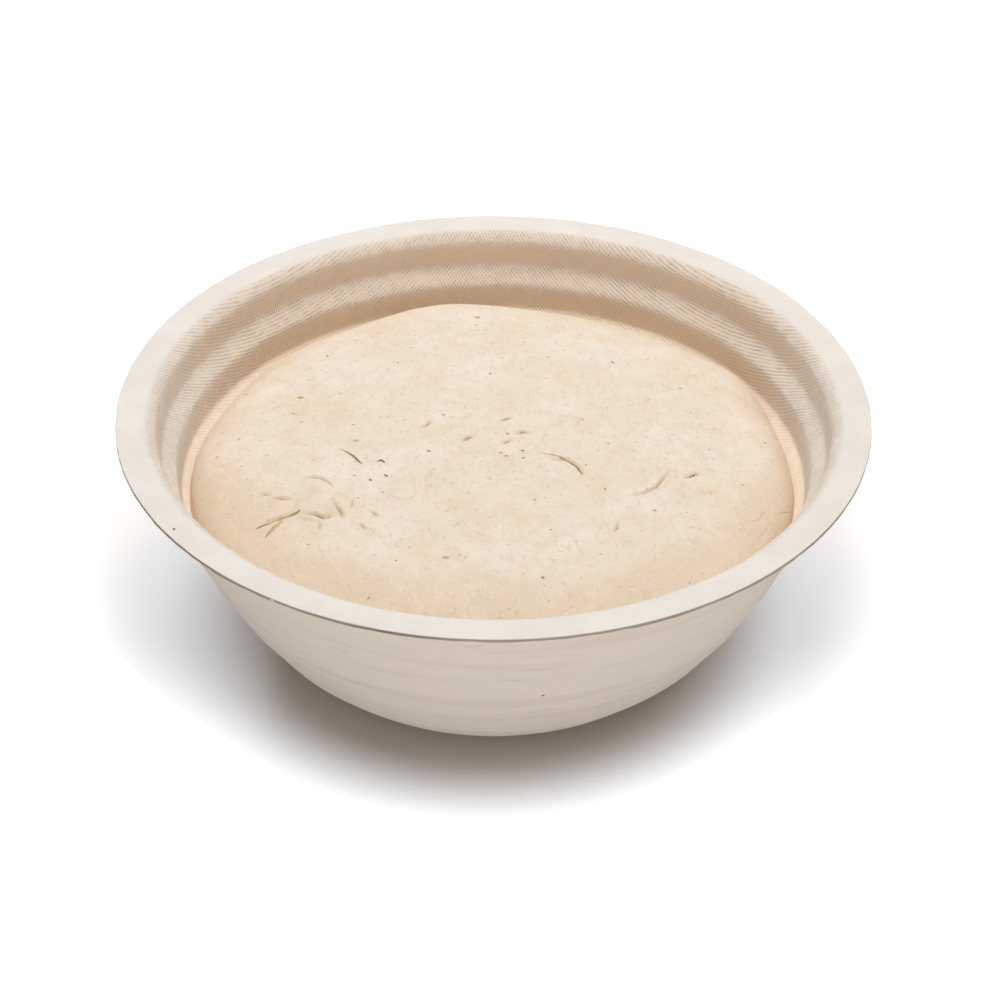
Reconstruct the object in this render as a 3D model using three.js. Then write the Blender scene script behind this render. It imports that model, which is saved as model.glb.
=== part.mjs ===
// Round proofing basket: a bowl moulded in one piece from wood pulp, with a loaf of dough rising in it.
// Millimetres, +Z up. The origin is on the table, at the centre of the basket's flat base.
import * as THREE from "three";

// Basket
const RIM_DIAMETER = 245;
const RIM_FLAT = 5.5; // level top of the rim, from its trimmed edge to the shoulder
const RIM_THICKNESS = 1.3; // the rim is pressed thinner than the wall
const RIM_BEVEL = 0.3; // wear on both corners of the trimmed edge
const SHOULDER_RADIUS = 5; // the rim rolls over this into the hollow
const HEIGHT = 86;
const BASE_DIAMETER = 117; // flat face that the basket stands on
const WALL_ANGLE = 70; // steepness of the wall below the shoulder, in degrees
const WALL_THICKNESS = 2.6; // wall and floor

// Rings moulded round the wall, which leave their lines in the crust
const RING_PITCH = 15.6; // from ring to ring, down the wall
const RING_START = 0.8; // from the level top of the rim to the first ring
const RING_LEDGE = 6.5; // length of a ring's upper side, which forms a ledge; the rest is steep
const RING_DEPTH = 2.2; // how far the ridge of a ring stands into the hollow
const RING_DENT = 0.5; // how far the same ring is pressed in on the outside

// Dough
const DOUGH_CLEARANCE = 0.3; // air between the dough and the lining it rests on
const DOUGH_EDGE = 35.5; // from the level top of the rim down the wall to the dough's edge
const DOUGH_RISE = 17.5; // crown above the edge
const DOUGH_FULLNESS = 2.5; // exponent of the crown's section: 2 is an ellipse, more is fuller

// Fineness of the facets
const SEGMENTS = 60; // round the axis
const LINING_STEPS = 44; // from the rim down to the floor
const CROWN_STEPS = 9; // from the dough's edge to its middle
const LINING_STEPS_PER_OUTER = 2; // the outside is smoother, so it takes every second step

// The lining: the inside of the wall in section, from the level top of the rim down to the floor,
// without its rings. A round shoulder runs into a wall that sweeps in to meet the floor.
const wallSlope = THREE.MathUtils.degToRad(WALL_ANGLE);
const rimRadius = RIM_DIAMETER / 2;
const baseRadius = BASE_DIAMETER / 2;
const shoulder = new THREE.Vector2(rimRadius - RIM_FLAT, HEIGHT - SHOULDER_RADIUS);
const wallTop = new THREE.Vector2(
  shoulder.x - SHOULDER_RADIUS * Math.sin(wallSlope),
  shoulder.y + SHOULDER_RADIUS * Math.cos(wallSlope),
);
const sweepCorner = wallTop.x - (wallTop.y - WALL_THICKNESS) / Math.tan(wallSlope);
const lining = new THREE.Path();
lining.absarc(shoulder.x, shoulder.y, SHOULDER_RADIUS, Math.PI / 2, Math.PI / 2 + wallSlope);
lining.quadraticCurveTo(sweepCorner, WALL_THICKNESS, baseRadius, WALL_THICKNESS);
const liningLength = lining.getLength();
const shoulderLength = SHOULDER_RADIUS * wallSlope;
const ringCount = Math.floor((liningLength - RING_START) / RING_PITCH);

// Distances down the lining at which the section has its points
const liningStations = [];
for (let step = 0; step <= LINING_STEPS; step += 1) {
  liningStations.push((liningLength * step) / LINING_STEPS);
}

// 0 in the groove between two rings, 1 on the ridge of a ring
function ringHeight(distance) {
  const ring = Math.floor((distance - RING_START) / RING_PITCH);
  if (ring < 0 || ring >= ringCount) {
    return 0;
  }
  const along = distance - RING_START - ring * RING_PITCH;
  const onLedge = along / RING_LEDGE;
  const onSteepSide = (RING_PITCH - along) / (RING_PITCH - RING_LEDGE);
  const share = Math.min(onLedge, onSteepSide);
  return (share + THREE.MathUtils.smoothstep(share, 0, 1)) / 2;
}

// Thickness of the pulp under the lining, from the thin rim to the full wall
function pulpThickness(distance) {
  const share = THREE.MathUtils.smoothstep(distance, 0, shoulderLength);
  return THREE.MathUtils.lerp(RIM_THICKNESS, WALL_THICKNESS, share);
}

// Point of the section at a distance down the plain lining, pushed square to it by a depth into the pulp
function sectionPoint(distance, depth) {
  const share = distance / liningLength;
  const point = lining.getPointAt(share);
  const along = lining.getTangentAt(share);
  return new THREE.Vector2(point.x - along.y * depth, point.y + along.x * depth);
}

// Points on the ringed inside of the wall, a clearance in front of it, from a shallowest depth down
function liningPoints(clearance, shallowest) {
  return liningStations
    .filter((distance) => distance > shallowest && distance < liningLength)
    .map((distance) => sectionPoint(distance, -RING_DEPTH * ringHeight(distance) - clearance));
}

// Points on the outside of the wall, from under the rim down to the base
function outsidePoints() {
  return liningStations
    .filter((distance, step) => step % LINING_STEPS_PER_OUTER === 0 && distance < liningLength)
    .map((distance) => sectionPoint(distance, pulpThickness(distance) - RING_DENT * ringHeight(distance)));
}

// A section that starts and ends on the axis, turned once round it
function revolve(section) {
  return new THREE.LatheGeometry(section, SEGMENTS).rotateX(Math.PI / 2);
}

// One bowl: flat base, outside, level rim with a trimmed edge, shoulder, ringed wall and floor
function makeBasket() {
  const rimUnderside = HEIGHT - RIM_THICKNESS;
  const section = [
    new THREE.Vector2(0, 0),
    new THREE.Vector2(baseRadius, 0),
    ...outsidePoints().reverse(),
    new THREE.Vector2(rimRadius - RIM_BEVEL, rimUnderside),
    new THREE.Vector2(rimRadius, rimUnderside + RIM_BEVEL),
    new THREE.Vector2(rimRadius, HEIGHT - RIM_BEVEL),
    new THREE.Vector2(rimRadius - RIM_BEVEL, HEIGHT),
    new THREE.Vector2(shoulder.x, HEIGHT),
    ...liningPoints(0, 0),
    new THREE.Vector2(baseRadius, WALL_THICKNESS),
    new THREE.Vector2(0, WALL_THICKNESS),
  ];
  const pulp = new THREE.MeshStandardMaterial({ color: 0xe6dacb, roughness: 0.9, metalness: 0 });
  const mesh = new THREE.Mesh(revolve(section), pulp);
  mesh.name = "basket_shell";
  return mesh;
}

// The loaf fills the hollow up to its edge, takes the print of the rings and domes over
function makeDough() {
  const edge = sectionPoint(DOUGH_EDGE, -RING_DEPTH * ringHeight(DOUGH_EDGE) - DOUGH_CLEARANCE);
  const underside = WALL_THICKNESS + DOUGH_CLEARANCE;
  const section = [
    new THREE.Vector2(0, underside),
    new THREE.Vector2(baseRadius, underside),
    ...liningPoints(DOUGH_CLEARANCE, DOUGH_EDGE).reverse(),
  ];
  for (let step = 0; step < CROWN_STEPS; step += 1) {
    const angle = (Math.PI / 2) * (step / CROWN_STEPS);
    const inward = Math.cos(angle) ** (2 / DOUGH_FULLNESS);
    const upward = Math.sin(angle) ** (2 / DOUGH_FULLNESS);
    section.push(new THREE.Vector2(edge.x * inward, edge.y + DOUGH_RISE * upward));
  }
  section.push(new THREE.Vector2(0, edge.y + DOUGH_RISE));
  const crumb = new THREE.MeshStandardMaterial({ color: 0xeddcc3, roughness: 0.75, metalness: 0 });
  const mesh = new THREE.Mesh(revolve(section), crumb);
  mesh.name = "dough_loaf";
  return mesh;
}

const proofingBasket = new THREE.Group();
proofingBasket.add(makeBasket(), makeDough());

export default proofingBasket;
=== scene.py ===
import math

import bpy
import numpy as np
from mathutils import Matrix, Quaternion, Vector


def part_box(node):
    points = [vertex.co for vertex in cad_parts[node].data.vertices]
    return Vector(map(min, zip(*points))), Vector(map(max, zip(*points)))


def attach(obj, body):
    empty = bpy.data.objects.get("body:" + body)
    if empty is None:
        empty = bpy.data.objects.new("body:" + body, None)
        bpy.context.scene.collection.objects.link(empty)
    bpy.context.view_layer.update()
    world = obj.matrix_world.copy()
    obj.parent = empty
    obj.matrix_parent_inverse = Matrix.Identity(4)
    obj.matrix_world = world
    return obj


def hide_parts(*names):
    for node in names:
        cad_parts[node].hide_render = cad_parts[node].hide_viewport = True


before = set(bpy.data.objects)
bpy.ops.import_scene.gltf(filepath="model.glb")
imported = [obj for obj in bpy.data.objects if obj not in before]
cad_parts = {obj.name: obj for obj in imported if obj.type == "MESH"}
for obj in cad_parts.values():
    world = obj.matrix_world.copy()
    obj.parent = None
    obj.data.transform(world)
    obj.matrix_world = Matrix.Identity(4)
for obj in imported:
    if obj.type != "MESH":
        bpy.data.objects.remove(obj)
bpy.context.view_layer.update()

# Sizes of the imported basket, in metres
basket_low, basket_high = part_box("basket_shell")
RIM_RADIUS = (basket_high.x - basket_low.x) / 2
HEIGHT = basket_high.z

# Other sizes that the solids are made from, in metres and degrees
RIM_FLAT = 0.0055
RIM_THICKNESS = 0.0013
SHOULDER_RADIUS = 0.005
BASE_RADIUS = 0.0585
WALL_ANGLE = 70.0
WALL_THICKNESS = 0.0026
RING_PITCH = 0.0156
RING_START = 0.0008
RING_LEDGE = 0.0065
RING_DEPTH = 0.0022
RING_DENT = 0.0005
DOUGH_CLEARANCE = 0.0003
DOUGH_EDGE = 0.0355
DOUGH_RISE = 0.0175
DOUGH_FULLNESS = 2.5

# Camera, in metres and degrees, for a square picture
PICTURE_SIDE = 1000
SENSOR_MM = 36.0
LENS_MM = 92.16
CAMERA_DISTANCE = 7.0 * RIM_RADIUS
CAMERA_ELEVATION = 35.93
CAMERA_ROLL = 0.38
CAMERA_AIM = Vector((0.0022, 0.0, 0.0467))

# Fineness of the basket's mesh: counts, and steps in metres
BASKET_SEGMENTS = 288
RIM_STEPS = 8
EDGE_STEPS = 5
OUTSIDE_STEP = 0.0010
LINING_STEP = 0.0007
FLOOR_STEP = 0.0025

# Fineness of the loaf's mesh: counts, steps in metres, and the radii between which its creases lie
DOUGH_SEGMENTS = 460
DOUGH_FLOOR_STEPS = 8
ROWS_PER_SIDE = 4
SIDE_STEP = 0.0030
TOP_STEP = 0.0009
CREASE_STEP = 0.00037
CREASE_ZONE = (0.044, 0.073)
LEAF_STEPS = 9

# Points on the curves that other points are read from
SHOULDER_POINTS = 80
SWEEP_POINTS = 800
WALL_POINTS = 2000
CROWN_POINTS = 2000
EDGE_POINTS = 721
TURN_POINTS = 4001

# Rounds in which a pixel's place on the loaf is found
LANDING_ROUNDS = 12

# Trimmed edge of the rim: its rounded corners in metres, and how far its tone reaches round the upper one
EDGE_ROUND = 0.00035
TRIM_FADE = (1.0, 0.7, 0.3, 0.0, 0.0)

# Relief as layers of lumps: height and distance apart in metres, and seed
PULP_LUMPS = [(0.00012, 0.03, 1), (0.00005, 0.008, 2)]
OUTSIDE_BANDS = [(0.00009, (0.05, 0.05, 0.0035), 3), (0.000054, (0.025, 0.025, 0.0018), 4)]
EDGE_LUMPS = [(0.00010, 0.006, 5), (0.00012, 0.0018, 6)]
DOUGH_LUMPS = [(0.0008, 0.03, 21), (0.00055, 0.012, 22), (0.00030, 0.005, 23), (0.00012, 0.0024, 24)]

# The loaf's painted shade along its border: shares of its radius, layers of drift in that share, and its
# shift back in metres
BORDER_SHADE_ZONE = (0.80, 1.0)
BORDER_SHADE_DRIFT = [(0.05, 0.02, 31), (0.04, 0.008, 32)]
BORDER_SHADE_SHIFT = 0.012

# Swells of the loaf's edge: degrees round the axis, spread in degrees and metres further down the wall
EDGE_SWELLS = [
    (-130, 55, -0.0004),
    (8, 19, 0.0015),
    (31, 10, -0.0022),
    (64, 18, 0.0012),
    (102, 13, -0.0026),
    (125, 8, 0.0006),
    (159, 13, 0.0013),
]

# Where the loaf's mesh is crowded for its creases: degrees round the axis, spread in degrees and amount
CROWDED = [(190, math.degrees(0.40), 2.4), (4, math.degrees(0.25), 2.0)]

# Creases of the loaf as pixel routes, with width, depth and lip in metres
CREASES = [
    ([(259, 495), (265, 495), (271, 496)], 0.00050, 0.0005, 0.0003),
    ([(272, 498), (281, 499), (291, 499)], 0.00060, 0.0007, 0.0003),
    ([(255, 529), (273, 520), (287, 515), (300, 512)], 0.00070, 0.0008, 0.0003),
    ([(303, 479), (312, 477), (321, 478), (330, 484), (335, 490)], 0.00055, 0.0006, 0.0003),
    ([(333, 501), (339, 508), (342, 513), (342, 519)], 0.00065, 0.0010, 0.0002),
    ([(304, 515), (314, 516), (323, 518), (333, 515), (341, 512)], 0.00060, 0.0006, 0.0002),
    ([(350, 508), (352, 503), (353, 497)], 0.00050, 0.0005, 0.0002),
    ([(319, 520), (320, 525), (319, 530)], 0.00050, 0.0003, 0.0002),
    ([(357, 526), (361, 524), (367, 530)], 0.00050, 0.0005, 0.0003),
    ([(370, 510), (379, 515)], 0.00050, 0.0005, 0.0002),
    ([(550, 459), (566, 460), (577, 466), (584, 475)], 0.00080, 0.0008, 0.0004),
    ([(628, 498), (643, 494), (656, 488), (663, 480), (671, 471)], 0.00055, 0.0007, 0.0004),
    ([(682, 479), (692, 476), (702, 473)], 0.00060, 0.0007, 0.0002),
    ([(700, 491), (706, 493), (717, 491)], 0.00055, 0.0005, 0.0002),
    ([(501, 444), (507, 442), (512, 440)], 0.00080, 0.0004, 0.0002),
    ([(516, 436), (522, 433), (530, 434)], 0.00080, 0.0006, 0.0002),
    ([(421, 429), (427, 426), (432, 420)], 0.00080, 0.0006, 0.0002),
    ([(462, 442), (467, 439), (474, 437)], 0.00080, 0.0005, 0.0002),
    ([(500, 423), (507, 420), (513, 419)], 0.00080, 0.0004, 0.0002),
    ([(614, 533), (617, 529), (618, 524)], 0.00050, 0.0005, 0.0002),
]
CREASE_ENDS = (0.04, 0.96)

# Knob of dough, in metres
KNOB_PIXEL = (318, 499)
KNOB_WIDTH = 0.0074
KNOB_LENGTH = 0.0108
KNOB_HEIGHT = 0.0022
KNOB_ROUND = 0.9

# Where relief fades out at the loaf's edge and the painted shade line along it starts, as shares of its
# radius
RELIEF_FADE = (0.90, 0.995)
EDGE_SHADE_START = (0.990, 0.997)

# Strength of that painted shade line, and the sines of the angle round the axis between which it is lost to
# the back
EDGE_SHADE_LINE = 0.65
EDGE_SHADE_LOST = (0.25, 0.6)

# Husks as pixel routes, with width in metres and tones at both ends from 0, straw, to 1, dark brown
HUSKS = [
    ([(256, 528), (265, 524), (276, 520)], 0.0007, 0.75, 0.45),
    ([(274, 521), (287, 516), (300, 511)], 0.0012, 0.1, 0.65),
    ([(265, 538), (274, 528), (283, 520)], 0.0012, 0.4, 0.1),
    ([(339, 447), (351, 453), (362, 462)], 0.0008, 0.1, 1.0),
    ([(541, 453), (553, 455), (566, 460), (577, 466), (584, 475)], 0.0006, 0.2, 0.8),
    ([(686, 478), (692, 476), (697, 474)], 0.0007, 0.6, 0.95),
    ([(377, 460), (381, 459), (385, 461)], 0.0007, 0.8, 0.9),
    ([(353, 441), (359, 440)], 0.0010, 0.1, 0.1),
    ([(297, 398), (304, 398)], 0.0012, 0.3, 0.3),
    ([(427, 452), (431, 452)], 0.0007, 0.8, 0.8),
    ([(384, 473), (388, 475)], 0.0007, 0.6, 0.7),
    ([(475, 318), (480, 319)], 0.0013, 0.35, 0.35),
    ([(442, 557), (450, 557)], 0.0010, 0.1, 0.1),
    ([(521, 451), (524, 452)], 0.0007, 0.8, 0.8),
    ([(611, 360), (614, 362)], 0.0007, 0.6, 0.7),
    ([(679, 387), (682, 388)], 0.0007, 0.6, 0.6),
]

# Where the ends of a leaf of husk or bran are cut off its pointed outline, as shares of the length
LEAF_ENDS = (0.02, 0.98)

# How far a leaf's left side, ridge, right side and underside stand over the dough, in half widths
LEAF_STANDS = (0.3, 0.7, 0.3, -0.5)
LEAF_SIDES = len(LEAF_STANDS)

# Loose bran: count, length in metres, width as a share of length, tone, and how much of the loaf it covers
BRAN_COUNT = 150
BRAN_SHORTEST = 0.0004
BRAN_SPREAD = 0.0009
BRAN_WIDTHS = (0.35, 0.7)
BRAN_TONE = 0.3
BRAN_TONE_SPREAD = 0.4
BRAN_REACH = 0.95
BRAN_SEED = 5

# Print of the forming screen: pitch in metres, start as shares of the shoulder, and wobble in radians
SCREEN_PITCH = 0.00125
PRINT_START = (0.5, 0.7)
SLOW_WOBBLE = 2.2
QUICK_WOBBLE = 2.4

# Steep face of a ring, where shade is painted: start as a share of its ledge, end as a share of its pitch,
# and cover of the print
STEEP_START = 1.3
STEEP_END = 0.9
STEEP_COVER = 0.4

# Painted light on the lining at the loaf's edge and below: first ring, counted from 0, fade in metres, and
# cover of the print
LOWER_LIGHT_RING = 2
LOWER_LIGHT_FADE = 0.0012
LOWER_LIGHT_COVER = 0.5

# Browning of the hollow, its own at the front with painted shade added at the back, and the sine of the
# angle round the axis at which the back's painted shade is full
FRONT_BROWN = 0.12
BACK_SHADE = 0.42
BACK_SHADE_SINE = 0.7

# Rare specks in the pulp: size in cells, and share of cells without one
SPECK_SIZE = 0.06
SPECK_RARITY = 0.996

# Small marks in the pulp: pixels, sizes in metres and tones
RIM_SPECK_PIXEL = (174, 529)
RIM_SPECK_SIZE = 0.00055
RIM_SPECK_TONE = (92, 78, 66)
EDGE_NICK_PIXEL = (271, 601)
EDGE_NICK_SIZE = 0.0009
EDGE_NICK_TONE = (240, 232, 222)
WALL_SPECK_PIXEL = (543, 695)
WALL_SPECK_SIZE = 0.0006
WALL_SPECK_TONE = (88, 74, 62)
MARK_CORE = 0.6

# Tones of the pulp, from 0 to 255
PULP_DULL = (233, 224, 214)
PULP_PALE = (239, 232, 223)
BROWN_AND_SHADE_TONE = (234, 208, 180)
STEEP_SHADE_TONE = (220, 185, 148)
LOWER_LIGHT_TONE = (255, 241, 222)
PIT_SHADE_TONE = (184, 157, 129)
PEAK_HIGHLIGHT_TONE = (250, 243, 234)
OUTSIDE_TONE = (247, 238, 227)
BAND_TONE = (228, 216, 203)
CRACK_TONE = (170, 150, 130)
SPECK_TONE = (96, 74, 56)
TRIM_DARK = (140, 131, 118)
TRIM_PALE = (184, 173, 158)

# Tones of the loaf, from 0 to 255
DOUGH_DULL = (235, 219, 198)
DOUGH_PALE = (240, 228, 213)
BORDER_SHADE_TONE = (222, 198, 167)
FINE_TONE = (222, 199, 170)
PATCH_TONE = (226, 203, 175)
MEAL_TONE = (248, 240, 228)
FOLD_TONE = (206, 168, 122)
CREASE_SHADE_HALO = (218, 184, 142)
CREASE_SHADE_TONE = (166, 132, 94)

# Flecks in the loaf's skin: cells in a metre, size in cells, share of cells without one, strength and tone
FLECKS = [
    (480.0, 0.34, 0.60, 0.38, (214, 184, 148)),
    (300.0, 0.22, 0.78, 0.32, (200, 164, 124)),
    (210.0, 0.10, 0.94, 0.5, (150, 118, 88)),
]
FLECK_SMALLEST = 0.4
FLECK_TEAR = 0.0016

# Tones of bran and husk, from 0 to 255
STRAW_PALE = (216, 194, 134)
STRAW_DEEP = (198, 172, 106)
BROWN_PALE = (132, 96, 60)
BROWN_DEEP = (88, 62, 40)

# Table, in metres and linear colour
TABLE_HALF = 6.0
TABLE_DULL = (0.60, 0.54, 0.485, 1.0)
TABLE_PALE = (0.62, 0.56, 0.505, 1.0)

# Glow that lifts the table's shade away from the basket: places and reaches in metres, and strengths
SHADE_OFFSET = -0.0036
SHADE_OVAL = 1.09
NEAR_REACH = (0.0769, 0.1203)
NEAR_LIFT = 0.485
FRONT_REACH = (0.010, 0.078)
FRONT_LIFT = 0.19
LEFT_REACH = (0.066, 0.082)
LEFT_LIFT = 0.085
FAR_SHIFT = 0.056
FAR_REACH = (0.126, 0.180)
FAR_LIFT = 0.44
LIFT_COLOUR = (0.935, 1.0, 1.075, 1.0)

# Lamps: name, place, aim, width and height in metres, power in watts
LAMPS = [
    ("overhead", (0.0, 0.20, 1.28), (0.0, 0.0, 0.05), 0.7, 0.7, 10.9),
    ("left_side", (-0.95, 0.05, 1.2), (0.0, 0.0, 0.05), 0.8, 0.8, 1.2),
    ("right_side", (0.95, 0.05, 1.2), (0.0, 0.0, 0.05), 0.8, 0.8, 1.8),
    ("front_fill", (0.12, -1.3, 0.11), (0.0, 0.0, 0.06), 1.4, 0.2, 5.4),
]
WORLD_FILL = 0.25
WHITE = (1.0, 1.0, 1.0, 1.0)

# Random numbers that lumps are made from
LATTICE_SIDE = 32
LATTICE_SEED = 11
SEED_SHIFT = 7.31
lattice = np.random.default_rng(LATTICE_SEED).uniform(-1.0, 1.0, (LATTICE_SIDE,) * 3)

# Keeps divisions on the axis finite
AXIS_GAP = 1e-9


def smooth_step(value, low, high):
    share = np.clip((value - low) / (high - low), 0.0, 1.0)
    return share * share * (3.0 - 2.0 * share)


def lumps(points, size, seed):
    """Smooth noise from -1 to 1 at points, with bumps about size apart: one length or one for each axis."""
    place = np.asarray(points) / np.asarray(size) + SEED_SHIFT * seed
    cell = np.floor(place).astype(int)
    part = smooth_step(place - cell, 0.0, 1.0)
    total = np.zeros(part.shape[:-1])
    for corner in np.ndindex(2, 2, 2):
        weight = np.prod(np.where(corner, part, 1.0 - part), axis=-1)
        index = (cell + corner) % LATTICE_SIDE
        total += weight * lattice[index[..., 0], index[..., 1], index[..., 2]]
    return total


def layered(points, layers):
    """Sum of layers of lumps at points."""
    return sum(height * lumps(points, size, seed) for height, size, seed in layers)


def swells(turn, shapes):
    """Sum of swells at angles round the axis, from the middle, spread and size of each."""
    total = np.zeros_like(turn)
    for middle, spread, size in shapes:
        apart = (np.degrees(turn) - middle + 180.0) % 360.0 - 180.0
        total += size * np.exp(-((apart / spread) ** 2))
    return total


# Camera at the photograph's viewing angle

def make_camera():
    tilt = math.radians(CAMERA_ELEVATION)
    back = Vector((0.0, -math.cos(tilt), math.sin(tilt)))
    data = bpy.data.cameras.new("camera")
    data.sensor_width = SENSOR_MM
    data.lens = LENS_MM
    camera = bpy.data.objects.new("camera", data)
    camera.location = CAMERA_AIM + back * CAMERA_DISTANCE
    camera.rotation_mode = "QUATERNION"
    roll = Quaternion((0.0, 0.0, 1.0), math.radians(CAMERA_ROLL))
    camera.rotation_quaternion = (-back).to_track_quat("-Z", "Y") @ roll
    bpy.context.scene.collection.objects.link(camera)
    bpy.context.scene.camera = camera
    return camera


camera = make_camera()


def pixel_ray(pixel):
    """Direction in which the camera sees a pixel of the square picture."""
    focal = LENS_MM / SENSOR_MM * PICTURE_SIDE
    half = PICTURE_SIDE / 2
    ray = Vector(((pixel[0] - half) / focal, (half - pixel[1]) / focal, -1.0))
    return camera.rotation_quaternion @ ray


def on_level(pixel, height):
    """Place of a pixel on a level plane."""
    ray = pixel_ray(pixel)
    return camera.location + ray * ((height - camera.location.z) / ray.z)


# The lining: the inside of the wall in section, from the rim's level top to the floor, without rings

wall_slope = math.radians(WALL_ANGLE)


def make_lining():
    """Points of the lining, and the distance of each down it."""
    hub = np.array([RIM_RADIUS - RIM_FLAT, HEIGHT - SHOULDER_RADIUS])
    turn = np.linspace(0.0, wall_slope, SHOULDER_POINTS)
    shoulder = hub + SHOULDER_RADIUS * np.stack([-np.sin(turn), np.cos(turn)], -1)
    top = shoulder[-1]
    foot = np.array([BASE_RADIUS, WALL_THICKNESS])
    corner = np.array([top[0] - (top[1] - foot[1]) / math.tan(wall_slope), foot[1]])
    share = np.linspace(0.0, 1.0, SWEEP_POINTS)[1:, None]
    sweep = (1 - share) ** 2 * top + 2 * share * (1 - share) * corner + share ** 2 * foot
    points = np.concatenate([shoulder, sweep])
    steps = np.linalg.norm(np.diff(points, axis=0), axis=1)
    return points, np.concatenate([[0.0], np.cumsum(steps)])


lining, lining_distance = make_lining()
lining_length = lining_distance[-1]
lining_along = np.gradient(lining, lining_distance, axis=0)
lining_along /= np.linalg.norm(lining_along, axis=1, keepdims=True)
shoulder_length = SHOULDER_RADIUS * wall_slope
ring_count = math.floor((lining_length - RING_START) / RING_PITCH)


def ring_place(distance):
    """Distance from the start of a ring, which has its ledge first, and whether there is a ring at all."""
    ring = np.floor((distance - RING_START) / RING_PITCH)
    return distance - RING_START - ring * RING_PITCH, (ring >= 0) & (ring < ring_count)


def ring_height(distance):
    """0 in the groove between two rings, 1 on the ridge of a ring."""
    along, ringed = ring_place(distance)
    share = np.minimum(along / RING_LEDGE, (RING_PITCH - along) / (RING_PITCH - RING_LEDGE))
    return np.where(ringed, (share + smooth_step(share, 0.0, 1.0)) / 2.0, 0.0)


def section_points(distance, depth):
    """Section points at distances down the plain lining, pushed square to it by depths into the pulp."""
    along_r = np.interp(distance, lining_distance, lining_along[:, 0])
    along_z = np.interp(distance, lining_distance, lining_along[:, 1])
    radius = np.interp(distance, lining_distance, lining[:, 0]) - along_z * depth
    height = np.interp(distance, lining_distance, lining[:, 1]) + along_r * depth
    return np.stack([radius, height], -1)


def inside_points(distance, clearance=0.0):
    """Section points on the ringed inside of the wall, a clearance in front of it."""
    return section_points(distance, -RING_DEPTH * ring_height(distance) - clearance)


def outside_points(distance):
    """Section points on the outside of the wall, where the pulp is thinner towards the rim."""
    share = smooth_step(distance, 0.0, shoulder_length)
    thickness = RIM_THICKNESS + (WALL_THICKNESS - RIM_THICKNESS) * share
    return section_points(distance, thickness - RING_DENT * ring_height(distance))


def level_points(radius, height):
    """Section points at one height."""
    return np.stack([radius, np.full_like(radius, height)], -1)


# Mesh helpers

def turned(section, turn):
    """Grid of section points at angles round the axis. A row has one point, or one for each angle."""
    around = np.stack([np.cos(turn), np.sin(turn)], -1)
    grid = np.empty((len(section), len(turn), 3))
    grid[..., :2] = section[..., :1] * around
    grid[..., 2] = section[..., 1]
    return grid


def outward(section, turn):
    """Outward normals of the grid that a section of single points turns to."""
    along = np.gradient(section, axis=0)
    along /= np.linalg.norm(along, axis=1, keepdims=True)
    normal = np.stack([along[:, 1], -along[:, 0]], -1)
    return turned(normal[:, None], turn)


def new_piece(name, points, faces, material):
    """Object with one mesh and one material, in the scene."""
    mesh = bpy.data.meshes.new(name)
    mesh.from_pydata(points, [], faces)
    mesh.materials.append(material)
    piece = bpy.data.objects.new(name, mesh)
    bpy.context.scene.collection.objects.link(piece)
    return piece


def set_field(piece, label, values):
    """Give each point of a piece a number or a vector."""
    kind, key = ("FLOAT", "value") if values.ndim == 1 else ("FLOAT_VECTOR", "vector")
    layer = piece.data.attributes.new(label, kind, "POINT")
    layer.data.foreach_set(key, values.astype(np.float32).ravel())


def one_axis_point(values):
    """Rows of a grid as one list, with a single value for each of the first and last rows."""
    between = values[1:-1].reshape(-1, *values.shape[2:])
    return np.concatenate([values[:1, 0], between, values[-1:, 0]])


def skin_faces(rows, segments):
    """Faces over a grid whose first and last rows lie on the axis."""
    column = np.arange(segments)
    beside = (column + 1) % segments
    rim = 1 + (rows - 3) * segments
    last = rim + segments
    faces = []
    for start in range(1, rim, segments):
        above = start + segments
        faces.extend(np.stack([start + column, start + beside, above + beside, above + column], -1).tolist())
    faces.extend(np.stack([np.zeros_like(column), 1 + beside, 1 + column], -1).tolist())
    faces.extend(np.stack([rim + column, rim + beside, np.full_like(column, last)], -1).tolist())
    return faces


def skin(name, grid, fields, material, body, node):
    """Closed piece over a grid whose first and last rows lie on the axis; fields are its point values."""
    piece = new_piece(name, one_axis_point(grid).tolist(), skin_faces(*grid.shape[:2]), material)
    smooth = np.ones(len(piece.data.polygons), dtype=bool)
    piece.data.polygons.foreach_set("use_smooth", smooth)
    for label, values in fields.items():
        set_field(piece, label, one_axis_point(values))
    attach(piece, body)
    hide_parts(node)
    return piece


# Node helpers

def shade(tone):
    """Linear colour of an sRGB tone given from 0 to 255."""
    parts = np.array(tone) / 255.0
    linear = np.where(parts <= 0.04045, parts / 12.92, ((parts + 0.055) / 1.055) ** 2.4)
    return (*linear.tolist(), 1.0)


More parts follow.
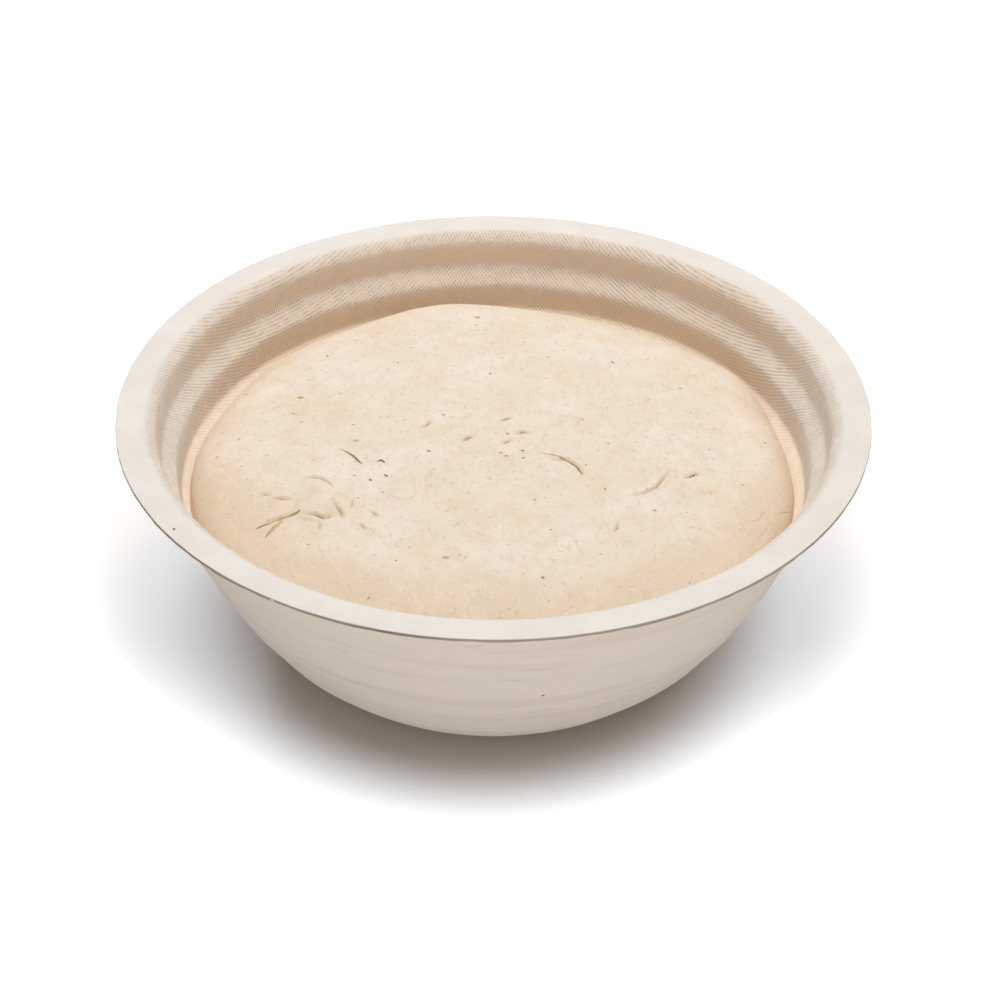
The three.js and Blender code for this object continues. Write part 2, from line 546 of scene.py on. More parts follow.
class Nodes:
    """Adds and links the nodes of one material or world."""

    def __init__(self, owner):
        owner.use_nodes = True
        self.tree = owner.node_tree

    def add(self, kind, inputs=None, **settings):
        node = self.tree.nodes.new(kind)
        for key, value in settings.items():
            setattr(node, key, value)
        for key, value in (inputs or {}).items():
            self.put(node.inputs[key], value)
        return node

    def put(self, socket, value):
        if isinstance(value, bpy.types.NodeSocket):
            self.tree.links.new(value, socket)
        else:
            socket.default_value = value

    def math(self, operation, first, second=0.0):
        return self.add("ShaderNodeMath", {0: first, 1: second}, operation=operation).outputs[0]

    def times(self, first, *others):
        for other in others:
            first = self.math("MULTIPLY", first, other)
        return first

    def plus(self, first, second):
        return self.math("ADD", first, second)

    def rest(self, value):
        """What is left of 1."""
        return self.math("SUBTRACT", 1.0, value)

    def ramp(self, value, low, high):
        node = self.add(
            "ShaderNodeMapRange",
            {"Value": value, "From Min": low, "From Max": high},
            interpolation_type="SMOOTHSTEP",
        )
        return node.outputs["Result"]

    def mix(self, share, first, second):
        node = self.add("ShaderNodeMix", data_type="RGBA")
        self.put(node.inputs["Factor"], share)
        self.put(node.inputs[6], first)
        self.put(node.inputs[7], second)
        return node.outputs[2]

    def tint(self, colour, tone, share, strength):
        """Colour with a tone laid over it."""
        return self.mix(self.times(share, strength), colour, shade(tone))

    def between(self, first, second, value, low, high):
        """Colour that goes from one tone to another as a value goes from low to high."""
        return self.mix(self.ramp(value, low, high), shade(first), shade(second))

    def field(self, label, output="Fac"):
        """Point values of the mesh."""
        node = self.add("ShaderNodeAttribute", attribute_name=label, attribute_type="GEOMETRY")
        return node.outputs[output]

    def place(self, scale=(1.0, 1.0, 1.0)):
        spot = self.add("ShaderNodeTexCoord").outputs["Object"]
        return self.add("ShaderNodeMapping", {"Vector": spot, "Scale": scale}).outputs["Vector"]

    def vector_math(self, operation, first, second, output="Vector"):
        return self.add("ShaderNodeVectorMath", {0: first, 1: second}, operation=operation).outputs[output]

    def apart(self, first, second):
        """Distance between two places."""
        return self.vector_math("DISTANCE", first, second, "Value")

    def noise(self, vector, scale, detail=3.0, rough=0.5, output="Fac"):
        inputs = {"Vector": vector, "Scale": scale, "Detail": detail, "Roughness": rough}
        return self.add("ShaderNodeTexNoise", inputs).outputs[output]

    def cells(self, vector, scale):
        """Distance to the middle of the nearest cell, and two random shares of that cell."""
        node = self.add("ShaderNodeTexVoronoi", {"Vector": vector, "Scale": scale})
        parts = self.add("ShaderNodeSeparateColor", {"Color": node.outputs["Color"]})
        return node.outputs["Distance"], parts.outputs[0], parts.outputs[1]

    def bump(self, height, distance, strength=1.0, under=None):
        node = self.add("ShaderNodeBump", {"Height": height, "Distance": distance, "Strength": strength})
        if under is not None:
            self.put(node.inputs["Normal"], under)
        return node.outputs["Normal"]

    def seen(self):
        """1 for rays that carry a picture of what they meet, 0 for rays that light by it."""
        rays = self.add("ShaderNodeLightPath").outputs
        either = self.math("MAXIMUM", rays["Is Camera Ray"], rays["Is Glossy Ray"])
        return self.math("MAXIMUM", either, rays["Is Transmission Ray"])

    def set_shader(self, **inputs):
        """Set inputs of the material's own shader, with _ for a space in their names."""
        shader = self.tree.nodes["Principled BSDF"]
        for label, value in inputs.items():
            self.put(shader.inputs[label.replace("_", " ")], value)
        return shader


# Moulded wood pulp

def on_outside(pixel):
    """Place of a pixel on the outside of the wall."""
    wall = outside_points(np.linspace(0.0, lining_length, WALL_POINTS))
    for height in np.linspace(wall[0, 1], wall[-1, 1], WALL_POINTS):
        spot = on_level(pixel, float(height))
        if math.hypot(spot.x, spot.y) < np.interp(height, wall[::-1, 1], wall[::-1, 0]):
            break
    return spot


def pulp_marks():
    """Place, size and tone of each mark."""
    middle_of_edge = HEIGHT - RIM_THICKNESS / 2
    return [
        (on_level(RIM_SPECK_PIXEL, HEIGHT), RIM_SPECK_SIZE, RIM_SPECK_TONE),
        (on_level(EDGE_NICK_PIXEL, middle_of_edge), EDGE_NICK_SIZE, EDGE_NICK_TONE),
        (on_outside(WALL_SPECK_PIXEL), WALL_SPECK_SIZE, WALL_SPECK_TONE),
    ]


def screen_weave(n, spot):
    """Height of the forming screen's print: two families of wires that cross, each wobbling alike."""
    draped = n.add("ShaderNodeSeparateXYZ", {"Vector": n.field("draped", "Vector")}).outputs
    wires = 2.0 * math.pi / (SCREEN_PITCH * math.sqrt(2.0))
    slow = n.times(n.noise(spot, scale=180.0, detail=2.0), SLOW_WOBBLE)
    quick = n.times(n.noise(spot, scale=620.0, detail=1.0), QUICK_WOBBLE)
    wobble = n.plus(slow, quick)
    rising = n.times(n.math("SUBTRACT", draped[0], draped[1]), wires)
    falling = n.times(n.plus(draped[0], draped[1]), wires)
    return n.plus(n.math("SINE", n.plus(rising, wobble)), n.math("SINE", n.plus(falling, wobble)))


def print_share(n, spot):
    """How much of the screen's print shows: worn in places, weaker on steep faces and on the painted light
    from the loaf's edge down.
    """
    worn = n.ramp(n.noise(spot, scale=260.0, detail=4.0, rough=0.7), low=0.3, high=0.62)
    steep = n.times(n.field("steep_shade"), STEEP_COVER)
    lower_light = n.times(n.field("lower_light"), LOWER_LIGHT_COVER)
    return n.times(n.field("imprint"), worn, n.rest(n.math("MAXIMUM", steep, lower_light)))


def inside_colour(n, colour, weave, printed):
    """Colour of the hollow: its own browner lining, painted shade at the back and on steep faces there,
    painted light from the loaf's edge down, and the screen's print with painted shade in its pits and
    painted highlights on its peaks.
    """
    back_shade = n.field("back_shade")
    # the lining's own brown, with painted shade added towards the back
    browned_and_shaded = n.plus(n.times(back_shade, BACK_SHADE), FRONT_BROWN)
    colour = n.tint(colour, BROWN_AND_SHADE_TONE, n.field("imprint"), browned_and_shaded)
    # painted shade on the rings' steep faces, strongest towards the back
    colour = n.tint(colour, STEEP_SHADE_TONE, n.times(n.field("steep_shade"), back_shade), strength=0.42)
    # painted light: the lining from the loaf's edge down made paler
    colour = n.tint(colour, LOWER_LIGHT_TONE, n.field("lower_light"), strength=0.95)
    # painted shade in the pits of the screen's print
    pit_shade = n.times(n.ramp(n.times(weave, -1.0), low=0.0, high=1.8), printed)
    colour = n.tint(colour, PIT_SHADE_TONE, pit_shade, strength=0.85)
    # painted highlights on the peaks of the screen's print
    peak_highlight = n.times(n.ramp(weave, low=0.3, high=1.9), printed)
    return n.tint(colour, PEAK_HIGHLIGHT_TONE, peak_highlight, strength=0.6)


def outside_colour(n, spot, colour, streak, outside):
    """Colour of the outside, with level bands and clusters of fine cracks."""
    colour = n.tint(colour, OUTSIDE_TONE, outside, strength=0.7)
    band = n.ramp(n.noise(n.place((9.0, 9.0, 170.0)), scale=1.0, detail=2.0), low=0.45, high=0.7)
    colour = n.tint(colour, BAND_TONE, n.times(band, outside), strength=0.4)
    clusters = n.ramp(n.noise(spot, scale=28.0, detail=2.0), low=0.46, high=0.58)
    cracks = n.times(n.ramp(streak, low=0.60, high=0.68), clusters, outside)
    return n.tint(colour, CRACK_TONE, cracks, strength=0.2)


def marked_colour(n, spot, colour):
    """Colour with rare specks, the trimmed edge's tone and the small marks."""
    distance, chance, _ = n.cells(spot, scale=140.0)
    rare = n.math("GREATER_THAN", chance, SPECK_RARITY)
    speck = n.times(n.math("LESS_THAN", distance, SPECK_SIZE), rare)
    colour = n.tint(colour, SPECK_TONE, speck, strength=0.8)
    stained = n.noise(spot, scale=14.0, detail=2.0)
    trimmed = n.between(TRIM_DARK, TRIM_PALE, stained, low=0.35, high=0.65)
    colour = n.mix(n.field("cut"), colour, trimmed)
    for middle, size, tone in pulp_marks():
        beyond = n.ramp(n.apart(spot, middle), MARK_CORE * size, size)
        colour = n.mix(n.rest(beyond), colour, shade(tone))
    return colour


def pulp_material():
    material = bpy.data.materials.new("moulded_pulp")
    n = Nodes(material)
    spot = n.place()
    outside = n.field("outside")
    weave = screen_weave(n, spot)
    printed = print_share(n, spot)
    streak = n.noise(n.place((70.0, 70.0, 900.0)), scale=1.0, detail=3.0, rough=0.6)
    mottle = n.noise(spot, scale=55.0, detail=4.0, rough=0.6)
    colour = n.between(PULP_DULL, PULP_PALE, mottle, low=0.3, high=0.7)
    colour = inside_colour(n, colour, weave, printed)
    colour = outside_colour(n, spot, colour, streak, outside)
    colour = marked_colour(n, spot, colour)
    grain = n.bump(n.noise(spot, scale=900.0, detail=5.0, rough=0.65), distance=0.00012, strength=0.6)
    streaks = n.bump(n.times(streak, outside), distance=0.00025, strength=0.5, under=grain)
    relief = n.bump(n.times(weave, printed), distance=0.00007, under=streaks)
    roughness = n.plus(n.times(mottle, 0.15), 0.78)
    n.set_shader(Base_Color=colour, Roughness=roughness, Specular_IOR_Level=0.25, Normal=relief)
    return material


# Basket: base, outside, rim, shoulder, ringed wall and floor in one skin

def edge_arc(radius, height, start):
    """A quarter turn of the rim's trimmed edge."""
    angle = np.linspace(start, start + math.pi / 2, EDGE_STEPS)
    return np.stack([radius + EDGE_ROUND * np.cos(angle), height + EDGE_ROUND * np.sin(angle)], -1)


def basket_parts(down):
    """Parts of the basket's section, from the middle of its base round to the middle of its floor."""
    radii = np.linspace(0.0, BASE_RADIUS, round(BASE_RADIUS / FLOOR_STEP))
    up = np.linspace(lining_length, 0.0, round(lining_length / OUTSIDE_STEP))[1:]
    outside = outside_points(up)
    edge_in = RIM_RADIUS - EDGE_ROUND
    underside = HEIGHT - RIM_THICKNESS
    lower_arc = edge_arc(edge_in, underside + EDGE_ROUND, -math.pi / 2)
    upper_arc = edge_arc(edge_in, HEIGHT - EDGE_ROUND, 0.0)
    return {
        "base": level_points(radii, 0.0),
        "outside": outside,
        "under_rim": level_points(np.linspace(outside[-1, 0], edge_in, RIM_STEPS)[1:-1], underside),
        "edge": np.concatenate([lower_arc, upper_arc]),
        "rim_top": level_points(np.linspace(edge_in, RIM_RADIUS - RIM_FLAT, RIM_STEPS)[1:-1], HEIGHT),
        "inside": inside_points(down),
        "floor": level_points(radii[::-1][1:], WALL_THICKNESS),
    }


def per_part(parts, **values):
    """Values along the section: 0, but for the parts that are given a value or a list of values."""
    rows = [np.broadcast_to(values.get(name, 0.0), len(points)) for name, points in parts.items()]
    return np.concatenate(rows)


def basket_relief(parts, grid):
    """Small unevenness of the pulp. The base stays flat."""
    relief = layered(grid, PULP_LUMPS)
    relief += per_part(parts, outside=1.0)[:, None] * layered(grid, OUTSIDE_BANDS)
    relief += per_part(parts, edge=1.0)[:, None] * layered(grid, EDGE_LUMPS)
    relief[: len(parts["base"])] = 0.0
    return relief


def hollow_fields(parts, down):
    """How far each row carries the screen's print, is a ring's steep face, which takes painted shade, or is
    painted light from the loaf's edge down.
    """
    printed = smooth_step(down / shoulder_length, *PRINT_START)
    along, ringed = ring_place(down)
    steep = smooth_step(along, RING_LEDGE, STEEP_START * RING_LEDGE)
    steep *= 1.0 - smooth_step(along, STEEP_END * RING_PITCH, RING_PITCH)
    # painted light on the lining from a ledge beside the loaf's edge down
    lower_light_start = RING_START + LOWER_LIGHT_RING * RING_PITCH
    lower_lit = smooth_step(down, lower_light_start - LOWER_LIGHT_FADE, lower_light_start)
    return {
        "imprint": per_part(parts, inside=printed, floor=1.0),
        "steep_shade": per_part(parts, inside=np.where(ringed, steep, 0.0) * printed),
        "lower_light": per_part(parts, inside=lower_lit),
    }


def make_basket(material):
    down = np.linspace(0.0, lining_length, round(lining_length / LINING_STEP))
    parts = basket_parts(down)
    section = np.concatenate(list(parts.values()))
    turn = np.linspace(0.0, 2.0 * math.pi, BASKET_SEGMENTS, endpoint=False)
    grid = turned(section[:, None], turn)
    grid += outward(section, turn) * basket_relief(parts, grid)[..., None]
    grid[..., 2] = np.clip(grid[..., 2], 0.0, HEIGHT)
    rows = {
        "outside": per_part(parts, outside=1.0),
        "cut": per_part(parts, edge=np.concatenate([np.ones(EDGE_STEPS), TRIM_FADE])),
        **hollow_fields(parts, down),
    }
    fields = {label: np.repeat(values[:, None], BASKET_SEGMENTS, axis=1) for label, values in rows.items()}
    # the forming screen is draped from the middle of the floor up the lining
    from_middle = per_part(parts, inside=BASE_RADIUS + lining_length - down, floor=parts["floor"][:, 0])
    reach = np.hypot(grid[..., 0], grid[..., 1]) + AXIS_GAP
    fields["draped"] = np.zeros_like(grid)
    fields["draped"][..., :2] = from_middle[:, None, None] * grid[..., :2] / reach[..., None]
    # painted shade: how far each point lies in the back half of the hollow
    fields["back_shade"] = smooth_step(grid[..., 1] / reach, 0.0, BACK_SHADE_SINE)
    return skin("moulded_basket", grid, fields, material, "basket", "basket_shell")


# Loaf of dough

def edge_distance(turn):
    """Distance down the wall of the loaf's edge, at angles round the axis."""
    return DOUGH_EDGE + swells(turn, EDGE_SWELLS)


edge_turns = np.linspace(-math.pi, math.pi, EDGE_POINTS)
edge_section = inside_points(edge_distance(edge_turns), DOUGH_CLEARANCE)
dough_crown = inside_points(DOUGH_EDGE, DOUGH_CLEARANCE)[1] + DOUGH_RISE


def dough_share(x, y):
    """Share of the loaf's radius at which points lie, 1 on its edge, and the height of the edge there."""
    turn = np.arctan2(y, x)
    radius = np.interp(turn, edge_turns, edge_section[:, 0])
    return np.clip(np.hypot(x, y) / radius, 0.0, 1.0), np.interp(turn, edge_turns, edge_section[:, 1])


def dome_height(x, y):
    share, edge = dough_share(x, y)
    return edge + (dough_crown - edge) * (1.0 - share ** DOUGH_FULLNESS) ** (1.0 / DOUGH_FULLNESS)


def on_dough(pixel):
    """Plan position on the dome of a pixel of the square picture, found in a few rounds."""
    height = dough_crown
    for _ in range(LANDING_ROUNDS):
        spot = on_level(pixel, height)
        height = float(dome_height(spot.x, spot.y))
    return np.array([spot.x, spot.y])


crease_routes = [np.array([on_dough(pixel) for pixel in crease[0]]) for crease in CREASES]
knob = on_dough(KNOB_PIXEL)


def along_route(x, y, route):
    """Distance from points to a route, and how far along it the nearest place is, from 0 to 1."""
    lengths = np.linalg.norm(np.diff(route, axis=0), axis=1)
    starts = np.concatenate([[0.0], np.cumsum(lengths)])
    best = np.full(x.shape, np.inf)
    share = np.zeros(x.shape)
    for index, (start, end) in enumerate(zip(route[:-1], route[1:])):
        run = end - start
        part = ((x - start[0]) * run[0] + (y - start[1]) * run[1]) / (run @ run)
        part = np.clip(part, 0.0, 1.0)
        away = np.hypot(x - start[0] - part * run[0], y - start[1] - part * run[1])
        closer = away < best
        best = np.where(closer, away, best)
        share = np.where(closer, (starts[index] + part * lengths[index]) / starts[-1], share)
    return best, share


def dough_relief(x, y):
    """Height over the plain dome, and the share of painted shade from 0 to 1: how deep in a crease each
    point lies, or the dark line along the loaf's edge.
    """
    height = layered(np.stack([x, y, np.zeros_like(x)], -1), DOUGH_LUMPS)
    reach = ((x - knob[0]) / KNOB_WIDTH) ** 2 + ((y - knob[1]) / KNOB_LENGTH) ** 2
    height += KNOB_HEIGHT * np.clip(1.0 - reach, 0.0, 1.0) ** KNOB_ROUND
    creased = np.zeros_like(x)
    for route, (_, width, depth, lip) in zip(crease_routes, CREASES):
        away, share = along_route(x, y, route)
        taper = np.sqrt(np.sin(math.pi * np.clip(share, *CREASE_ENDS)))
        groove = np.exp(-((away / width) ** 2)) * taper
        height -= depth * groove
        height += lip * np.exp(-(((away - 2.0 * width) / width) ** 2)) * taper
        creased = np.maximum(creased, groove)
    share, _ = dough_share(x, y)
    fade = 1.0 - smooth_step(share, *RELIEF_FADE)
    ahead = 1.0 - smooth_step(y / np.hypot(x + AXIS_GAP, y), *EDGE_SHADE_LOST)
    # painted shade: a dark line where the loaf meets the wall, lost towards the back
    brink_shade = EDGE_SHADE_LINE * smooth_step(share, *EDGE_SHADE_START) * ahead
    return height * fade, np.maximum(creased * fade, brink_shade)


def dough_top(x, y):
    return dome_height(x, y) + dough_relief(x, y)[0]


def flecked_colour(n, spot, colour):
    """Colour with flecks of bran in the skin, whose outlines are torn by noise."""
    jitter = n.noise(spot, scale=700.0, detail=2.0, output="Color")
    torn = n.vector_math("ADD", spot, n.vector_math("MULTIPLY", jitter, (FLECK_TEAR,) * 3))
    for scale, size, share, strength, tone in FLECKS:
        distance, chance, spread = n.cells(torn, scale)
        reach = n.times(n.plus(spread, FLECK_SMALLEST), size)
        inside = n.rest(n.math("DIVIDE", distance, reach))
        fleck = n.times(n.ramp(inside, low=0.0, high=0.6), n.math("GREATER_THAN", chance, share))
        colour = n.tint(colour, tone, fleck, strength)
    return colour


def fold_line(n, spot):
    """Fine broken lines where the skin of the dough folds."""
    fold = n.noise(n.place((60.0, 45.0, 45.0)), scale=1.0, detail=1.0)
    beside = n.ramp(n.math("ABSOLUTE", n.math("SUBTRACT", fold, 0.5)), low=0.0, high=0.012)
    broken = n.ramp(n.noise(spot, scale=75.0, detail=2.0), low=0.5, high=0.62)
    return n.times(n.rest(beside), broken)


def dough_colour(n, spot, blotch, fold):
    """Colour of the dough, from broad blotches to meal, flecks and folds, with painted shade at its border,
    in its creases and along its edge.
    """
    fine = n.noise(spot, scale=420.0, detail=4.0, rough=0.65)
    patch = n.noise(spot, scale=130.0, detail=3.0, rough=0.6)
    meal = n.noise(spot, scale=1000.0, detail=3.0, rough=0.6)
    creased = n.field("creased")
    colour = n.between(DOUGH_DULL, DOUGH_PALE, blotch, low=0.3, high=0.72)
    # painted shade along the loaf's border, where it turns down to the wall
    colour = n.tint(colour, BORDER_SHADE_TONE, n.field("border_shade"), strength=0.62)
    colour = n.tint(colour, FINE_TONE, n.ramp(fine, low=0.46, high=0.74), strength=0.38)
    colour = n.tint(colour, PATCH_TONE, n.ramp(patch, low=0.42, high=0.68), strength=0.35)
    colour = n.tint(colour, MEAL_TONE, n.ramp(meal, low=0.52, high=0.72), strength=0.35)
    colour = flecked_colour(n, spot, colour)
    colour = n.tint(colour, FOLD_TONE, fold, strength=0.15)
    # painted shade in and around the creases, and along the loaf's edge
    colour = n.tint(colour, CREASE_SHADE_HALO, n.ramp(creased, low=0.02, high=0.6), strength=0.45)
    return n.tint(colour, CREASE_SHADE_TONE, n.ramp(creased, low=0.55, high=0.95), strength=0.75)


def dough_material():
    material = bpy.data.materials.new("raw_dough")
    n = Nodes(material)
    spot = n.place()
    blotch = n.noise(spot, scale=40.0, detail=4.0, rough=0.6)
    fold = fold_line(n, spot)
    lumpy = n.bump(n.noise(spot, scale=330.0, detail=4.0, rough=0.6), distance=0.0006, strength=0.5)
    wrinkled = n.bump(n.rest(fold), distance=0.0003, strength=0.5, under=lumpy)
    meal = n.noise(spot, scale=1100.0, detail=3.0, rough=0.6)
    n.set_shader(
        Base_Color=dough_colour(n, spot, blotch, fold),
        Roughness=n.plus(n.times(blotch, 0.2), 0.55),
        Specular_IOR_Level=0.3,
        Subsurface_Weight=0.15,
        Subsurface_Radius=(0.004, 0.0025, 0.0015),
        Subsurface_Scale=1.0,
        Normal=n.bump(meal, distance=0.00018, strength=0.6, under=wrinkled),
    )
    return material


def dough_angles():
    """Angles round the axis, crowded where the creases are."""
    turn = np.linspace(-math.pi, math.pi, TURN_POINTS)
    crowd = 1.0 + swells(turn, CROWDED)
    share = np.concatenate([[0.0], np.cumsum((crowd[1:] + crowd[:-1]) / 2.0)])
    return np.interp(np.linspace(0.0, share[-1], DOUGH_SEGMENTS, endpoint=False), share, turn)


def side_rows():
    """Distances down the wall of the rows of the loaf's side, from the floor to the ridge under its edge."""
    shares = np.linspace(0.0, 1.0, ROWS_PER_SIDE, endpoint=False)
    ring = np.concatenate([RING_LEDGE * shares, RING_LEDGE + (RING_PITCH - RING_LEDGE) * shares])
    edge_ring = math.floor((DOUGH_EDGE - RING_START) / RING_PITCH)
    starts = RING_START + RING_PITCH * np.arange(edge_ring, ring_count + 1)
    ringed = (starts[:-1, None] + ring).ravel()[ROWS_PER_SIDE:]
    plain = np.arange(starts[-1], lining_length, SIDE_STEP)
    return np.concatenate([ringed, plain])[::-1]


def crown_rows(radius):
    """Shares of the radius and of the rise for the rows of the crown, closer together among the creases."""
    angle = np.linspace(0.0, math.pi / 2, CROWN_POINTS)
    power = 2.0 / DOUGH_FULLNESS
    inward = np.cos(angle) ** power
    inward[-1] = 0.0
    upward = np.sin(angle) ** power
    steps = np.hypot(np.diff(inward) * radius, np.diff(upward) * DOUGH_RISE)
    reach = inward[1:] * radius
    creased = (reach > CREASE_ZONE[0]) & (reach < CREASE_ZONE[1])
    run = np.concatenate([[0.0], np.cumsum(steps / np.where(creased, CREASE_STEP, TOP_STEP))])
    stations = np.linspace(0.0, run[-1], round(run[-1]))
    return np.interp(stations, run, inward)[:, None], np.interp(stations, run, upward)[:, None]


def dough_grid(turn, edge):
    """Rows of the loaf's underside and side, and rows of its plain crown, which starts at the edge."""
    radii = np.linspace(0.0, BASE_RADIUS, DOUGH_FLOOR_STEPS)
    bottom = turned(level_points(radii, WALL_THICKNESS + DOUGH_CLEARANCE)[:, None], turn)
    rows = side_rows()
    halfway = (rows[-1] + edge_distance(turn)) / 2.0
    up = np.concatenate([np.repeat(rows[:, None], len(turn), axis=1), halfway[None]])
    side = turned(inside_points(up, DOUGH_CLEARANCE), turn)
    radius = edge[:, 0]
    height = edge[:, 1]
    inward, upward = crown_rows(radius.mean())
    crown = np.stack([inward * radius, height + (dough_crown - height) * upward], -1)
    return np.concatenate([bottom, side]), turned(crown, turn)


def make_dough(material):
    turn = dough_angles()
    edge = inside_points(edge_distance(turn), DOUGH_CLEARANCE)
    below, crown = dough_grid(turn, edge)
    x = crown[..., 0]
    y = crown[..., 1]
    relief, crease = dough_relief(x, y)
    crown[..., 2] += relief
    crown[-1, :, 2] = crown[-1, :, 2].mean()
    drift = layered(crown, BORDER_SHADE_DRIFT)
    # painted shade at the loaf's border, reaching further in at the front; full on the hidden underside and
    # side
    border_shade = smooth_step(np.hypot(x, y - BORDER_SHADE_SHIFT) / edge[:, 0].mean() + drift, *BORDER_SHADE_ZONE)
    hidden = below.shape[:2]
    fields = {
        # creased holds the painted shade of the creases and of the line along the loaf's edge
        "creased": np.concatenate([np.zeros(hidden), crease]),
        "border_shade": np.concatenate([np.ones(hidden), border_shade]),
    }
    grid = np.concatenate([below, crown])
    return skin("risen_dough", grid, fields, material, "dough", "dough_loaf")


# Bran and husk in the dough's skin

def leaf(route, width):
    """Plan points of one pointed leaf along a route, and how far each stands over the dough."""
    route = np.asarray(route)
    run = np.concatenate([[0.0], np.cumsum(np.linalg.norm(np.diff(route, axis=0), axis=1))])
    steps = np.linspace(0.0, run[-1], LEAF_STEPS)
    line = np.stack([np.interp(steps, run, route[:, axis]) for axis in (0, 1)], -1)
    along = np.gradient(line, axis=0)
    along /= np.linalg.norm(along, axis=1, keepdims=True)
    half = width / 2 * np.sqrt(np.sin(math.pi * np.linspace(*LEAF_ENDS, LEAF_STEPS)))
    aside = np.stack([-along[:, 1], along[:, 0]], -1) * half[:, None]
    plan = np.stack([line - aside, line, line + aside, line], 1)
    stand = half[:, None] * np.array(LEAF_STANDS)
    return plan.reshape(-1, 2), stand.ravel()


def leaf_faces(start):
    """Faces of one closed leaf whose points begin at a number."""
    last = start + LEAF_SIDES * (LEAF_STEPS - 1)
    first_end = tuple(reversed(range(start, start + LEAF_SIDES)))
    faces = [first_end, tuple(range(last, last + LEAF_SIDES))]
    for ring in range(start, last, LEAF_SIDES):
        for corner in range(LEAF_SIDES):
            here = ring + corner
            beside = ring + (corner + 1) % LEAF_SIDES
            faces.append((here, beside, beside + LEAF_SIDES, here + LEAF_SIDES))
    return faces


def bran_flake(chance):
    """Leaf and tones of one loose flake."""
    turn = chance.uniform(0.0, 2.0 * math.pi)
    radius = BRAN_REACH * edge_section[:, 0].min() * math.sqrt(chance.uniform(0.0, 1.0))
    middle = radius * np.array([math.cos(turn), math.sin(turn)])
    heading = chance.uniform(0.0, math.pi)
    length = BRAN_SHORTEST + BRAN_SPREAD * chance.uniform(0.0, 1.0) ** 2
    half = 0.5 * length * np.array([math.cos(heading), math.sin(heading)])
    flake = leaf([middle - half, middle + half], length * chance.uniform(*BRAN_WIDTHS))
    tone = BRAN_TONE + BRAN_TONE_SPREAD * chance.uniform(0.0, 1.0)
    return flake, [tone, tone]


def bran_material():
    material = bpy.data.materials.new("bran_husk")
    n = Nodes(material)
    spot = n.place()
    straw = n.between(STRAW_PALE, STRAW_DEEP, n.noise(spot, scale=600.0), low=0.3, high=0.7)
    brown = n.between(BROWN_PALE, BROWN_DEEP, n.noise(spot, scale=800.0), low=0.3, high=0.7)
    n.set_shader(
        Base_Color=n.mix(n.ramp(n.field("tone"), low=0.1, high=0.9), straw, brown),
        Roughness=n.plus(n.times(n.noise(spot, scale=500.0), 0.2), 0.5),
        Normal=n.bump(n.noise(spot, scale=1500.0), distance=0.0001),
    )
    return material


def make_bran(material):
    leaves = []
    for pixels, width, *ends in HUSKS:
        leaves.append((leaf([on_dough(pixel) for pixel in pixels], width), ends))
    chance = np.random.default_rng(BRAN_SEED)
    for _ in range(BRAN_COUNT):
        leaves.append(bran_flake(chance))
    plan = np.concatenate([points for (points, _), _ in leaves])
    stand = np.concatenate([heights for (_, heights), _ in leaves])
    points = np.column_stack([plan, dough_top(plan[:, 0], plan[:, 1]) + stand])
    starts = range(0, len(points), LEAF_SIDES * LEAF_STEPS)
    faces = [face for start in starts for face in leaf_faces(start)]
    piece = new_piece("bran", points.tolist(), faces, material)
    tones = np.concatenate([np.linspace(*ends, LEAF_STEPS) for _, ends in leaves])
    set_field(piece, "tone", np.repeat(tones, LEAF_SIDES))
    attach(piece, "dough")


# Table, lamps and world

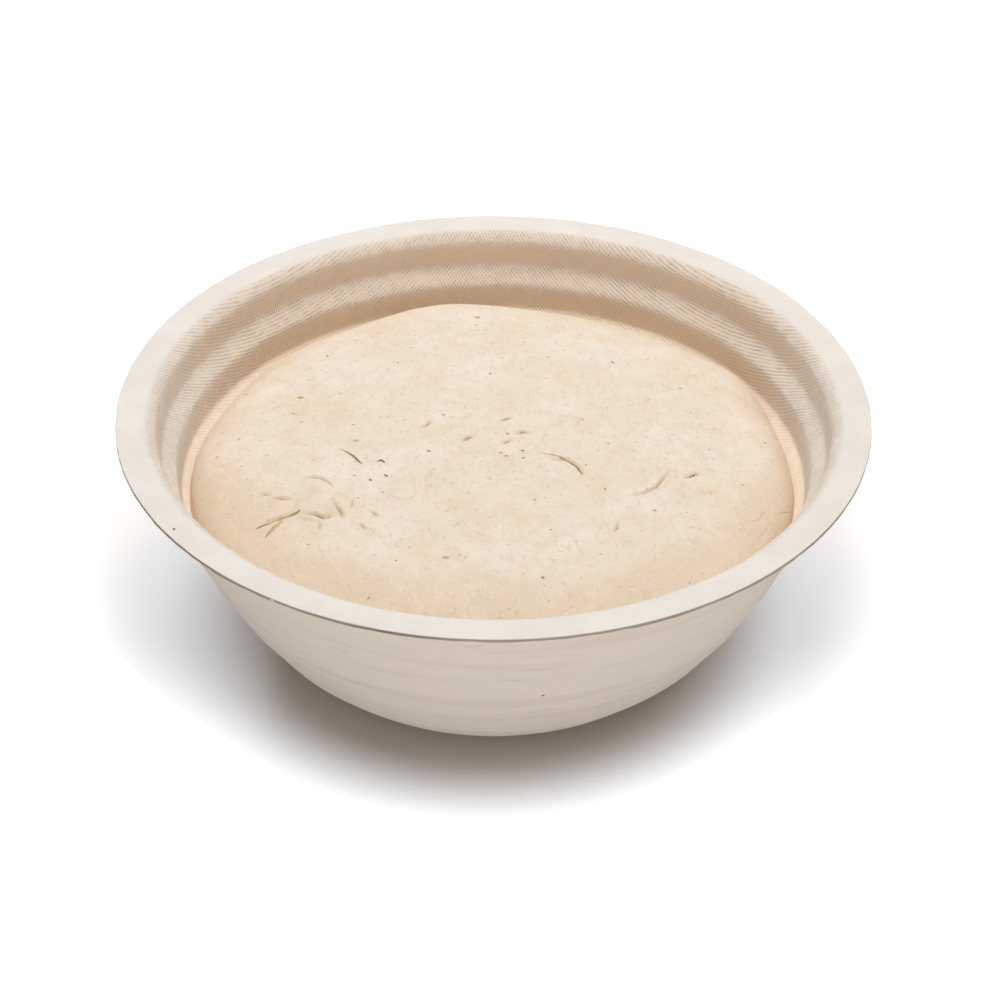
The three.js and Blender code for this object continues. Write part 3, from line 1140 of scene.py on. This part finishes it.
def table_lift(n):
    """Strength of the glow that takes the table from the basket's shade to white."""
    spot = n.place()
    sides = n.add("ShaderNodeSeparateXYZ", {"Vector": spot}).outputs
    leftward = n.times(sides[0], -1.0)
    toward = n.times(sides[1], -1.0)
    oval = n.place((SHADE_OVAL, 1.0, 1.0))
    near = n.ramp(n.apart(oval, (SHADE_OFFSET * SHADE_OVAL, 0.0, 0.0)), *NEAR_REACH)
    front = n.times(n.ramp(toward, *FRONT_REACH), FRONT_LIFT)
    left = n.times(n.ramp(leftward, *LEFT_REACH), n.rest(near), LEFT_LIFT)
    near_lift = n.plus(n.times(near, n.plus(front, NEAR_LIFT)), left)
    far = n.ramp(n.apart(spot, (SHADE_OFFSET, FAR_SHIFT, 0.0)), *FAR_REACH)
    return n.plus(near_lift, n.times(far, FAR_LIFT))


def table_material():
    material = bpy.data.materials.new("pale_table")
    n = Nodes(material)
    colour = n.mix(n.noise(n.place(), scale=3.0), TABLE_DULL, TABLE_PALE)
    shader = n.set_shader(Base_Color=colour, Roughness=0.9, Specular_IOR_Level=0.1)
    strength = n.times(table_lift(n), n.seen())
    glow = n.add("ShaderNodeEmission", {"Color": LIFT_COLOUR, "Strength": strength})
    both = n.add("ShaderNodeAddShader", {0: shader.outputs[0], 1: glow.outputs[0]})
    n.put(n.tree.nodes["Material Output"].inputs["Surface"], both.outputs[0])
    return material


def make_table(material):
    corners = [(-1, -1), (1, -1), (1, 1), (-1, 1)]
    points = [(x * TABLE_HALF, y * TABLE_HALF, 0.0) for x, y in corners]
    table = new_piece("table", points, [(0, 1, 2, 3)], material)


def make_lamp(name, place, aim, width, height, power):
    data = bpy.data.lights.new(name, "AREA")
    data.shape = "RECTANGLE"
    data.size = width
    data.size_y = height
    data.energy = power
    lamp = bpy.data.objects.new(name, data)
    lamp.location = place
    lamp.rotation_mode = "QUATERNION"
    lamp.rotation_quaternion = (Vector(aim) - Vector(place)).to_track_quat("-Z", "Y")
    bpy.context.scene.collection.objects.link(lamp)


def make_world():
    """White where it is seen, and a weak fill where it lights."""
    world = bpy.data.worlds.new("studio")
    n = Nodes(world)
    fill = n.tree.nodes["Background"]
    fill.inputs["Color"].default_value = WHITE
    fill.inputs["Strength"].default_value = WORLD_FILL
    white = n.add("ShaderNodeBackground", {"Color": WHITE})
    pick = n.add("ShaderNodeMixShader", {0: n.seen(), 1: fill.outputs[0], 2: white.outputs[0]})
    n.put(n.tree.nodes["World Output"].inputs["Surface"], pick.outputs[0])
    bpy.context.scene.world = world


make_basket(pulp_material())
make_dough(dough_material())
make_bran(bran_material())
make_table(table_material())
make_world()
for lamp in LAMPS:
    make_lamp(*lamp)
bpy.context.scene.view_settings.view_transform = "Standard"
